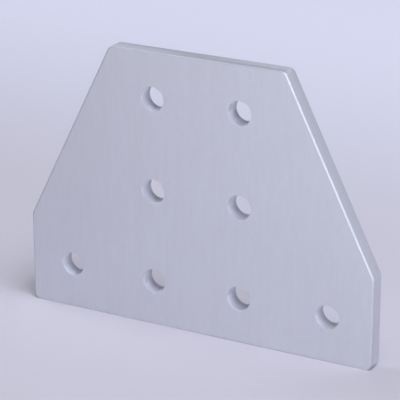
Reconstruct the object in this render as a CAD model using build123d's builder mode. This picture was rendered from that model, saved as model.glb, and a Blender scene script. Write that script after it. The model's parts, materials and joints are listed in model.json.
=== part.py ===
"""Flat joining plate for one-inch slotted framing.

The plate bolts over the joint where an upright post, two slots wide, stands on a level rail. Its foot is as tall as the
rail and takes one row of screws along the rail's slot. Its stem takes a row of screws up each of the post's two slots,
and two slanted sides carry the load from the post's corners out to the ends of the foot.

It is modelled standing on its long edge. X runs along that edge, Y through the thickness, and Z up the stem. The front
face looks along -Y, the back face lies against the framing, and the origin is the middle of the edge it stands on.
"""

import os

from build123d import *

# Driving dimensions, in millimetres.
hole_pitch = 25.4  # from one slot of the framing to the next
rail_holes = 4  # along the foot
post_columns = 2  # side by side up the stem, one for each slot of the post
post_rows = 2  # up the stem, above the foot's own row
edge_margin = 12.7  # from the centre of an outer hole to the plate's edge
thickness = 4.775
screw_diameter = 6.35
screw_clearance = 0.178  # on the diameter
corner_radius = 2.0  # at the six corners of the outline
front_edge_round = 0.55  # all round the front face
back_edge_round = 0.4  # all round the back face
rim_break = 0.15  # at both ends of every hole

# The outline and the rows of holes follow from the pitch, the counts and the margin.
foot_length = (rail_holes - 1) * hole_pitch + 2 * edge_margin
foot_height = 2 * edge_margin
stem_width = (post_columns - 1) * hole_pitch + 2 * edge_margin
plate_height = post_rows * hole_pitch + 2 * edge_margin
rail_row_z = edge_margin
post_grid_z = rail_row_z + (post_rows + 1) / 2 * hole_pitch
hole_radius = (screw_diameter + screw_clearance) / 2

# The plate's middle plane: its local x is the model's X, its local y is Z, and its normal looks out of the front face.
middle_plane = Plane.XZ

with BuildPart(middle_plane) as joining_plate:
    # One blank of even thickness, with a straight foot below the shoulders and slanted sides above them.
    with BuildSketch(middle_plane) as blank:
        with BuildLine() as outline:
            Polyline(
                (-foot_length / 2, 0),
                (foot_length / 2, 0),
                (foot_length / 2, foot_height),
                (stem_width / 2, plate_height),
                (-stem_width / 2, plate_height),
                (-foot_length / 2, foot_height),
                close=True,
            )
        make_face()
        fillet(blank.vertices(), radius=corner_radius)
    extrude(amount=thickness / 2, both=True)

    # Tumbling rounds the whole outline, a little more on the front face than on the back.
    front_face, back_face = joining_plate.faces().filter_by(Axis.Y).sort_by(Axis.Y)
    fillet(front_face.edges(), radius=front_edge_round)
    fillet(back_face.edges(), radius=back_edge_round)

    # Eight plain screw holes: one row along the rail, and a grid up the post.
    with Locations((0, rail_row_z)):
        with GridLocations(hole_pitch, hole_pitch, rail_holes, 1):
            Hole(hole_radius)
    with Locations((0, post_grid_z)):
        with GridLocations(hole_pitch, hole_pitch, post_columns, post_rows):
            Hole(hole_radius)

    # The burr is taken off both rims of every hole.
    rims = [wire.edge() for face in joining_plate.faces().filter_by(Axis.Y) for wire in face.inner_wires()]
    chamfer(rims, length=rim_break)

joining_plate.part.label = "joining_plate"

os.makedirs("parts", exist_ok=True)
export_step(joining_plate.part, "parts/joining_plate.step")
print(f"plate {foot_length:.2f} x {thickness:.3f} x {plate_height:.2f} mm, {joining_plate.part.volume:.0f} mm3")
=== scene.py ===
# %% [markdown]
# # A joining plate of satin aluminium
#
# This script dresses one flat aluminium plate, the kind that bolts over a joint in a slotted aluminium frame. The
# shape comes ready made from the CAD model, and nothing here moves or changes it. What is left to make is the finish
# of the metal, the paper sweep that the plate stands on, the lamps and the camera.
#
# The first cell loads the CAD model as a fixed frame, and everything after it is built round that model.

# %% Load the frame
import json
import math

import bpy
import numpy as np
from mathutils import Matrix, Vector


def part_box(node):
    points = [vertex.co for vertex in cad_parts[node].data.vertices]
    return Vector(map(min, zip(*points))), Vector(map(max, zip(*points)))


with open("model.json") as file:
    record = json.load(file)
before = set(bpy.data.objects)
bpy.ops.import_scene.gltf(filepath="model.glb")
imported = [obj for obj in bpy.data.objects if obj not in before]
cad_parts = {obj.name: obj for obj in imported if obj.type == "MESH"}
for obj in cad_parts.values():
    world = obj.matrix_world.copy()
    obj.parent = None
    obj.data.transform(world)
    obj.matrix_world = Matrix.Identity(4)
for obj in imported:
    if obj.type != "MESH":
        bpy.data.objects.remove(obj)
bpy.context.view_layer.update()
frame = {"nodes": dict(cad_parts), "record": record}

MM = 0.001
plate = frame["nodes"]["joining_plate"]
low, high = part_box("joining_plate")
print("plate, in mm:", [round(side / MM, 2) for side in high - low])

# %% [markdown]
# ## Where the holes are
#
# The screw holes lie on a square grid, one pitch apart. The finish needs to know this, because a drill leaves other
# marks than a saw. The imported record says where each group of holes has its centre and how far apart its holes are,
# so the grid is read from there instead of being typed again.

# %% The grid of holes
mounts = {mount["name"]: mount for mount in frame["record"]["mounts"]}
post_holes = mounts["post_holes"]
HOLE_PITCH = post_holes["dims"]["spacing_x_mm"] * MM
HOLE_RADIUS = post_holes["dims"]["hole_r_mm"] * MM
FIRST_HOLE = Vector((HOLE_PITCH / 2, 0, mounts["rail_inner_pair"]["pos_m"][2]))
print(f"pitch {HOLE_PITCH / MM:.2f} mm, hole diameter {2 * HOLE_RADIUS / MM:.3f} mm")

# %% [markdown]
# ## A small kit for wiring shaders
#
# A procedural material is a graph of nodes: each node is a small formula, and the links carry numbers or colours from
# one to the next. Written out in full, such a graph is long and hard to follow. These helpers let a formula read like
# one: each takes numbers or other nodes' outputs, adds a node, and gives its output back.

# %% Shader helpers
class Graph:
    """The node graph of one new material, with a method for each kind of formula that the finishes need."""

    def __init__(self, name):
        self.material = bpy.data.materials.new(name)
        self.material.use_nodes = True
        self.tree = self.material.node_tree
        self.tree.nodes.clear()
        self.where = self.node("ShaderNodeTexCoord").outputs

    def node(self, kind, inputs=(), **settings):
        """Adds a node, sets its properties, then fills its inputs, by name or number, with numbers or links."""
        made = self.tree.nodes.new(kind)
        for key, value in settings.items():
            setattr(made, key, value)
        for key, value in dict(inputs).items():
            if isinstance(value, bpy.types.NodeSocket):
                self.tree.links.new(value, made.inputs[key])
            else:
                made.inputs[key].default_value = value
        return made

    def math(self, operation, *values, clamp=False):
        """operation applied to its values, such as math("POWER", a, b)."""
        return self.node("ShaderNodeMath", dict(enumerate(values)), operation=operation, use_clamp=clamp).outputs[0]

    def add(self, first, *others):
        """The sum of all its values."""
        for other in others:
            first = self.math("ADD", first, other)
        return first

    def times(self, first, *others):
        """The product of all its values."""
        for other in others:
            first = self.math("MULTIPLY", first, other)
        return first

    def distance(self, first, second):
        """The square root of first * first + second * second."""
        return self.math("SQRT", self.add(self.times(first, first), self.times(second, second)))

    def ramp(self, value, start, end):
        """Eases from 0 to 1 while value goes from start to end, and stays level outside that."""
        inputs = {"Value": value, "From Min": start, "From Max": end}
        return self.node("ShaderNodeMapRange", inputs, interpolation_type="SMOOTHSTEP").outputs["Result"]

    def split(self, vector):
        """The three components of a vector."""
        return self.node("ShaderNodeSeparateXYZ", {0: vector}).outputs

    def toned(self, colour, tone):
        """colour times tone, so that a tone of 1 leaves it as it is."""
        return self.node("ShaderNodeVectorMath", {0: colour, "Scale": tone}, operation="SCALE").outputs[0]

    def finish(self, **inputs):
        """Ends the graph in one Principled shader. An input's name has _ where the socket's name has a space."""
        sockets = {name.replace("_", " "): value for name, value in inputs.items()}
        shader = self.node("ShaderNodeBsdfPrincipled", sockets)
        self.node("ShaderNodeOutputMaterial", {"Surface": shader.outputs[0]})
        return self.material


# %% [markdown]
# ## Marks made of noise
#
# Every tool leaves marks on a surface, and no two of them are quite the same. A scanned picture of a metal could give
# such marks, but a picture has borders and shows its repeats. Noise has neither: it is a formula that fills all of
# space with soft blotches, so a surface can be cut out of it anywhere. Drawn out along a tool's path, the blotches
# turn into lines.
#
# A kind of mark is described by the size of its grain and by what it adds: to the tone of the surface, to how rough
# it is, and to its height, which the bump reads. All of these come from one noise, because a scratch that is seen in
# the tone is felt in the height as well.

# %% Marks
def marks(graph, *kinds):
    """What some kinds of mark add to each effect: for every kind its noise times its amount, and all of them added up.

    The noise goes from about -1 to 1. A kind's grain is the size of one blotch along x, y and z, in mm. Its detail and
    its roughness say how many finer noises are laid over the first, and how strong they are.
    """
    totals = {}
    for kind in kinds:
        scale = [1 / (side * MM) for side in kind["grain"]]
        scaled = graph.node("ShaderNodeMapping", {"Vector": graph.where["Object"], "Scale": scale})
        inputs = {"Vector": scaled.outputs[0], "Scale": 1.0, "Detail": kind["detail"],
                  "Roughness": kind.get("roughness", 0.5)}
        from_0_to_1 = graph.node("ShaderNodeTexNoise", inputs).outputs[0]
        noise = graph.times(graph.math("SUBTRACT", from_0_to_1, 0.5), 2.0)
        for effect, amount in kind["adds"].items():
            part = graph.times(amount, noise)
            totals[effect] = graph.add(totals[effect], part) if effect in totals else part
    return totals


# %% [markdown]
# ## Telling the surfaces apart
#
# The plate is cut from a flat extruded bar, sawn and drilled, tumbled and then clear anodised. Each of these leaves
# its own marks, so the finish has to know which surface it is on. The faces could be sorted into material slots by
# hand, but then every change of the model would need it done again. So the shader finds out by itself, from the
# surface's direction: on the two broad faces the normal points along y, and on the outline and inside the holes it
# points across y. The rounding between them is what is left over. The distance to the nearest hole then tells a
# hole's wall from the outline, and its rim from other edges.
#
# The ping-pong formula runs up and down between 0 and half a pitch, so it gives the distance to the nearest line of
# the grid, whichever hole that is.

# %% Masks
# Where each mask starts and where it is full, by how much of the normal points along y.
BROAD = (0.93, 0.995)
ACROSS = (0.12, 0.02)
# The same for what belongs to a hole, by the distance from the hole's middle line.
NEAR_HOLE = (1.4 * HOLE_RADIUS, 1.2 * HOLE_RADIUS)


def surfaces(graph):
    """Numbers from 0 to 1: is this spot on a broad face, a rounded edge, a hole's rim, the outline, a hole's wall."""
    facing = graph.math("ABSOLUTE", graph.split(graph.where["Normal"])[1])
    broad = graph.ramp(facing, *BROAD)
    across = graph.ramp(facing, *ACROSS)
    rounded = graph.math("SUBTRACT", graph.math("SUBTRACT", 1.0, broad), across, clamp=True)
    x, _, z = graph.split(graph.where["Object"])
    beside = graph.math("PINGPONG", graph.math("SUBTRACT", x, FIRST_HOLE.x), HOLE_PITCH / 2)
    above = graph.math("PINGPONG", graph.math("SUBTRACT", z, FIRST_HOLE.z), HOLE_PITCH / 2)
    near_hole = graph.ramp(graph.distance(beside, above), *NEAR_HOLE)
    drilled, rim = graph.times(across, near_hole), graph.times(rounded, near_hole)
    sawn = graph.math("SUBTRACT", across, drilled, clamp=True)
    return broad, rounded, rim, sawn, drilled


# %% [markdown]
# ## What the tools leave
#
# The bar is pressed through a die, which draws lines up the stem. Some of them run the whole way, most of them only a
# few millimetres, and there are short flecks and hairlines between them. The saw leaves fine lines from front to back
# on the outline, and the drill leaves rings in the holes. The etch before the anodising makes everything a little
# cloudy and very finely grained.

# %% Tool marks
DIE_LINES = {"grain": (1.1, 9, 120), "detail": 2.0, "adds": {"tone": 0.028, "rough": 0.03, "height_mm": 0.0014}}
STREAKS = {"grain": (1.1, 5, 7), "detail": 1.5, "adds": {"tone": 0.024, "height_mm": 0.0010}}
FLECKS = {"grain": (0.9, 5, 2), "detail": 1.0, "adds": {"tone": 0.018}}
HAIRLINES = {"grain": (0.06, 3, 5), "detail": 2.0, "adds": {"tone": 0.005, "height_mm": 0.0004}}
SAW_LINES = {"grain": (0.14, 4, 0.14), "detail": 2.0, "roughness": 0.6, "adds": {"tone": 0.05, "height_mm": 0.006}}
RINGS = {"grain": (5, 0.10, 5), "detail": 2.0, "roughness": 0.6, "adds": {"tone": 0.06, "height_mm": 0.004}}
CLOUDS = {"grain": (14, 14, 18), "detail": 3.0, "adds": {"tone": 0.010, "rough": 0.015}}
ETCHING = {"grain": (0.05, 0.05, 0.05), "detail": 1.0, "adds": {"height_mm": 0.0004}}
print("finest grain, in mm:", min(min(kind["grain"]) for kind in (HAIRLINES, SAW_LINES, RINGS, ETCHING)))

# %% [markdown]
# ## The finish of the plate
#
# Etching before the anodising makes the metal matt: it shines in a broad, soft way, and shows no sharp reflections.
# That is a metal with a high roughness. A coat of clear lacquer over a smoother metal would look similar from afar,
# but its sharp second highlight would give it away.
#
# The drill leaves a rougher skin than the die does, which throws light back in every direction. So a hole's wall is
# pale near the front. Towards its far end a painted shade darkens it, as less light gets that far into the hole.
# The rims of the holes are paler too, and the other rounded edges are a little darker, a painted shade that dims
# their highlights.

# %% Anodised aluminium
METAL = (0.588, 0.590, 0.634)
ROUGHNESS, SAWN_ROUGH, DRILLED_ROUGH = 0.62, 0.03, 0.33  # the last two are added on their surfaces
BRUSHED = 0.3  # how much further a highlight spreads one way than the other
# What each surface adds to a tone of 1. A hole's wall has DRILLED_TONE at its front and the second number more at
# its far end, as painted shade. The fourth number is painted shade that dims the highlights of the rounded edges.
DRILLED_TONE, HOLE_PAINTED_SHADE, RIM_TONE, ROUND_PAINTED_SHADE = 0.25, -0.24, 0.22, -0.10
HOLE_SHADE_SPAN = (-1.0 * MM, 1.6 * MM)  # the y from which a hole's wall gets darker, and the y where it is darkest


def anodised_aluminium():
    """Matt metal: each surface has its own tone and roughness, and the marks of the tool that made it."""
    graph = Graph("anodised_aluminium")
    add, times = graph.add, graph.times
    broad, rounded, rim, sawn, drilled = surfaces(graph)
    # Painted shade: a hole's wall is darkened from its front towards its far end.
    hole_painted_shade = graph.ramp(graph.split(graph.where["Object"])[1], *HOLE_SHADE_SPAN)
    on_faces = marks(graph, DIE_LINES, STREAKS, FLECKS, HAIRLINES)
    on_outline, in_holes, all_over = marks(graph, SAW_LINES), marks(graph, RINGS), marks(graph, CLOUDS, ETCHING)

    hole_tone = add(DRILLED_TONE, times(HOLE_PAINTED_SHADE, hole_painted_shade), in_holes["tone"])
    # The rounded edges' term is a painted shade that dims their highlights.
    tone = add(1.0, all_over["tone"], times(broad, on_faces["tone"]), times(sawn, on_outline["tone"]),
               times(drilled, hole_tone), times(rim, RIM_TONE), times(rounded, ROUND_PAINTED_SHADE))
    roughness = add(ROUGHNESS, all_over["rough"], times(broad, on_faces["rough"]), times(sawn, SAWN_ROUGH),
                    times(add(drilled, rim), DRILLED_ROUGH))
    height_mm = add(times(broad, on_faces["height_mm"]), times(sawn, on_outline["height_mm"]),
                    times(drilled, in_holes["height_mm"]), all_over["height_mm"])
    bump = graph.node("ShaderNodeBump", {"Strength": 1.0, "Distance": 1.0, "Height": times(MM, height_mm)})
    return graph.finish(Base_Color=graph.toned(METAL, tone), Metallic=1.0, Roughness=roughness,
                        Normal=bump.outputs[0], Anisotropic=BRUSHED)


for slot in plate.material_slots:
    slot.material = anodised_aluminium()
print("plate's material:", [slot.material.name for slot in plate.material_slots])

# %% [markdown]
# ## The paper sweep
#
# Small products are often set on one sheet of paper that lies flat under them and then curves up behind, so that no
# line shows where the floor ends. Seen from the side, the sheet is a profile: a straight run, a quarter of a circle
# and a straight rise. Carried along x it is a surface of two parameters, which numpy works out in one go.
#
# The bend is slow and the wall is about a metre away, so that a camera can also go round to the back of the plate.
# The plate presses a little way into the soft paper. That closes the thin bright gap that the rounding of its bottom
# edge would leave.

# %% Shape of the sweep
def sweep_profile(front, bend_start, bend_radius, top, steps=48):
    """(y, z) points: level from front to bend_start, a quarter circle of bend_radius, then straight up to top."""
    turn = np.linspace(0, np.pi / 2, steps)
    bend = np.stack([bend_start + bend_radius * np.sin(turn), bend_radius * (1 - np.cos(turn))], axis=1)
    return np.concatenate([[(front, 0.0)], bend, [(bend_start + bend_radius, top)]])


def sheet_along_x(name, profile, half_width, columns=2):
    """A surface: point (i, j) is point i of the profile, at x = -half_width ... half_width in equal steps for j."""
    across = np.linspace(-half_width, half_width, columns)
    rows = len(profile)
    grid = np.empty((rows, columns, 3))
    grid[:, :, 0] = across[None, :]
    grid[:, :, 1:] = profile[:, None, :]
    i, j = np.meshgrid(np.arange(rows - 1), np.arange(columns - 1), indexing="ij")
    corner = i * columns + j
    faces = np.stack([corner, corner + 1, corner + columns + 1, corner + columns], axis=-1).reshape(-1, 4)
    mesh = bpy.data.meshes.new(name)
    mesh.from_pydata(grid.reshape(-1, 3).tolist(), [], faces.tolist())
    mesh.shade_smooth()
    piece = bpy.data.objects.new(name, mesh)
    bpy.context.scene.collection.objects.link(piece)
    return piece


SINK = 0.30 * MM  # how far the plate presses into the paper
profile = sweep_profile(front=-2.5, bend_start=0.16, bend_radius=0.9, top=1.6)
profile[:, 1] += low.z + SINK
sweep = sheet_along_x("paper_sweep", profile, half_width=2.5)
print("sweep:", len(sweep.data.polygons), "faces")

# %% [markdown]
# ## The paper itself
#
# Background paper is matt, pale and very slightly mottled. It is darker under the plate and gets lighter behind
# it, as painted light, so the plate stands out against it at the bottom and the top stays airy.
#
# A lighter backdrop could also be had with another lamp, but that lamp would light the plate's top as well. So the
# light is painted into the paper's colour, which changes what is seen behind the plate and very little else.
#
# The lamps are small and near, so a few steps away from the plate the paper falls into the dark, and a camera at the
# side or at the back would look into a gloomy corner. There the paper glows a little. The Light Path node keeps that
# glow to the rays that see the paper, directly or in a shiny or clear surface, so it lights nothing.

# %% Paper
# The far colour is lighter than the near one: painted light behind the plate.
NEAR_PAPER, FAR_PAPER_PAINTED_LIGHT = (0.590, 0.562, 0.614), (0.84, 0.84, 0.953)
FADE = (0.04, 0.30)  # from this y to that one, in metres, the colour eases from near to far
MOTTLE = {"grain": (0.6, 0.6, 0.6), "detail": 3.0, "adds": {"tone": 0.006}}
PAPER_ROUGH, PAPER_SHINE = 0.9, 0.2
GLOW, GLOW_COLOUR = 0.45, (0.88, 0.91, 1.0)
GLOW_FADE = (0.36, 1.3)  # how far from the plate the glow starts, and where it is full, in metres


def paper_with_painted_light():
    """Matt, mottled paper: its colour eases with y into painted light, its glow with the distance from the plate.

    The glow's distance is the square root of x * x + y * y in front of the plate, and just x beside and behind it.
    """
    graph = Graph("paper_with_painted_light")
    x, y, _ = graph.split(graph.where["Object"])
    fade = {0: graph.ramp(y, *FADE), 6: (*NEAR_PAPER, 1), 7: (*FAR_PAPER_PAINTED_LIGHT, 1)}  # the factor and the two colours
    colour = graph.node("ShaderNodeMix", fade, data_type="RGBA").outputs[2]
    tone = graph.add(1.0, marks(graph, MOTTLE)["tone"])
    away = graph.distance(x, graph.math("MINIMUM", y, 0.0))
    ray = graph.node("ShaderNodeLightPath").outputs
    seen = graph.add(ray["Is Camera Ray"], ray["Is Glossy Ray"], ray["Is Transmission Ray"])
    glow = graph.times(GLOW, graph.ramp(away, *GLOW_FADE), graph.math("MINIMUM", seen, 1.0))
    return graph.finish(Base_Color=graph.toned(colour, tone), Roughness=PAPER_ROUGH, Specular_IOR_Level=PAPER_SHINE,
                        Emission_Color=(*GLOW_COLOUR, 1), Emission_Strength=glow)


sweep.data.materials.append(paper_with_painted_light())
print("sweep's material:", sweep.data.materials[0].name)

# %% [markdown]
# ## Standing back and facing the plate
#
# A lamp and a camera are both set up in the same way: they stand some distance away in a direction that is given by
# two angles, and face a point on the plate. They could be placed by x, y and z and then turned to fit. With two
# angles and a distance each number can be changed by itself, and the lamp still faces the plate. In Blender both look
# along their own -Z.

# %% Facing a point
def facing(target, azimuth, elevation, distance, roll=0.0):
    """The matrix of a lamp or camera that looks at target from distance metres away.

    azimuth is in degrees from straight in front, towards +x, and elevation in degrees above level. roll turns it
    about its own line of sight, in degrees as well.
    """
    turn, rise = math.radians(azimuth), math.radians(elevation)
    away = Vector((math.sin(turn) * math.cos(rise), -math.cos(turn) * math.cos(rise), math.sin(rise)))
    turned = away.to_track_quat("Z", "Y").to_matrix().to_4x4() @ Matrix.Rotation(math.radians(roll), 4, "Z")
    return Matrix.Translation(target + distance * away) @ turned


centre = (low + high) / 2
print("the plate's middle, in mm:", [round(c / MM, 2) for c in centre])

# %% [markdown]
# ## Softboxes
#
# Matt metal shows what is around it as broad, soft changes of tone, so the lamps are as much a part of its look as
# its material is. A picture of a whole studio could be wrapped round the scene instead, but separate lamps can be
# moved and dimmed one by one. Each lamp here is a softbox, a square that glows evenly, and all of them face the
# plate's middle.
#
# The key lamp is high on the right and quite near. Being near, it lights the right-hand end more than the left-hand
# one, and it throws a soft shadow to the left and back. A fill on the left opens that shadow, and two weak lamps
# behind the plate draw its top and its sawn edges out of the backdrop.
#
# The front face is upright, so the high lamps only graze it. A low fill in front gives it its sheen, which is
# brightest towards the upper right because this lamp is near too. Its beam is narrowed. A last small lamp, nearly
# level with the plate on the right, picks out the slanted edge's highlight.

# %% Lamps
LAMP_COLOUR = (0.88, 0.91, 1.0)  # a slightly cool white
LOW_FILL_BEAM = math.radians(90)


def softbox(name, azimuth, elevation, distance, size, power):
    """A square area lamp that faces the plate's middle. distance and size are in metres, power in watts."""
    lamp = bpy.data.lights.new(name, "AREA")
    lamp.shape = "SQUARE"
    lamp.size = size
    lamp.energy = power
    lamp.color = LAMP_COLOUR
    holder = bpy.data.objects.new(name, lamp)
    holder.matrix_world = facing(centre, azimuth, elevation, distance)
    bpy.context.scene.collection.objects.link(holder)
    return holder


softbox("key_lamp", azimuth=58, elevation=62, distance=0.75, size=0.45, power=5.15)
softbox("left_fill", azimuth=-90, elevation=35, distance=0.9, size=0.5, power=2.85)
softbox("back_left", azimuth=-124, elevation=55, distance=0.93, size=0.6, power=1.35)
softbox("back_right", azimuth=160, elevation=45, distance=0.9, size=0.5, power=0.7)
low_fill = softbox("low_fill", azimuth=20, elevation=5, distance=0.7, size=0.3, power=1.30)
low_fill.data.spread = LOW_FILL_BEAM
side_fill = softbox("side_fill", azimuth=90, elevation=4, distance=0.7, size=0.2, power=1.03)

# %% [markdown]
# ## Keeping the low lamps off the paper
#
# The two low lamps stand so near the paper that they would burn a white patch into it. In a real studio a black card
# is hung under such a lamp. Here light linking does the same: a lamp can be given a collection of objects that it
# lights, or that it leaves out, and these two leave out the sweep.

# %% Light linking
off_the_paper = bpy.data.collections.new("off_the_paper")
off_the_paper.objects.link(sweep)
off_the_paper.collection_objects[0].light_linking.link_state = "EXCLUDE"
for lamp in (low_fill, side_fill):
    lamp.light_linking.receiver_collection = off_the_paper
print("kept off the paper:", low_fill.name, side_fill.name)

# %% [markdown]
# ## The room
#
# Whatever no lamp reaches is lit by the room itself, which is an even, faint light from everywhere. It is kept faint
# because it has no direction: more of it would flatten the shadow and the sheen.

# %% World
ROOM_COLOUR, ROOM_STRENGTH = (0.92, 0.92, 1.0), 0.005

world = bpy.data.worlds.new("studio")
bpy.context.scene.world = world
world.use_nodes = True
room = world.node_tree.nodes["Background"].inputs
room["Color"].default_value = (*ROOM_COLOUR, 1)
room["Strength"].default_value = ROOM_STRENGTH
print(f"room light: {room['Strength'].default_value:.3f}")

# %% [markdown]
# ## Camera
#
# A long lens from half a metre away keeps the plate's upright edges nearly parallel, as in a catalogue. A wide lens
# from nearby would show the same plate, but with its near end swollen. The camera stands to the plate's right, looks
# down on it, and is placed as the lamps are, by the point that it looks at and the angles from which it does.

# %% Camera
AIM = Vector((0.0, 0.0, 37.24 * MM))
AZIMUTH, ELEVATION, ROLL = 28.296, 20.509, -0.127  # in degrees
DISTANCE = 511.83 * MM
LENS, SENSOR = 176.75, 36  # in mm
NEAREST = 0.01  # anything nearer than this, in metres, is left out

camera = bpy.data.objects.new("camera", bpy.data.cameras.new("camera"))
camera.data.sensor_width = SENSOR
camera.data.lens = LENS
camera.data.clip_start = NEAREST
camera.matrix_world = facing(AIM, AZIMUTH, ELEVATION, DISTANCE, ROLL)
bpy.context.scene.collection.objects.link(camera)
bpy.context.scene.camera = camera
bpy.context.scene.view_settings.view_transform = "Standard"
print("camera at, in mm:", [round(c / MM, 1) for c in camera.matrix_world.translation])
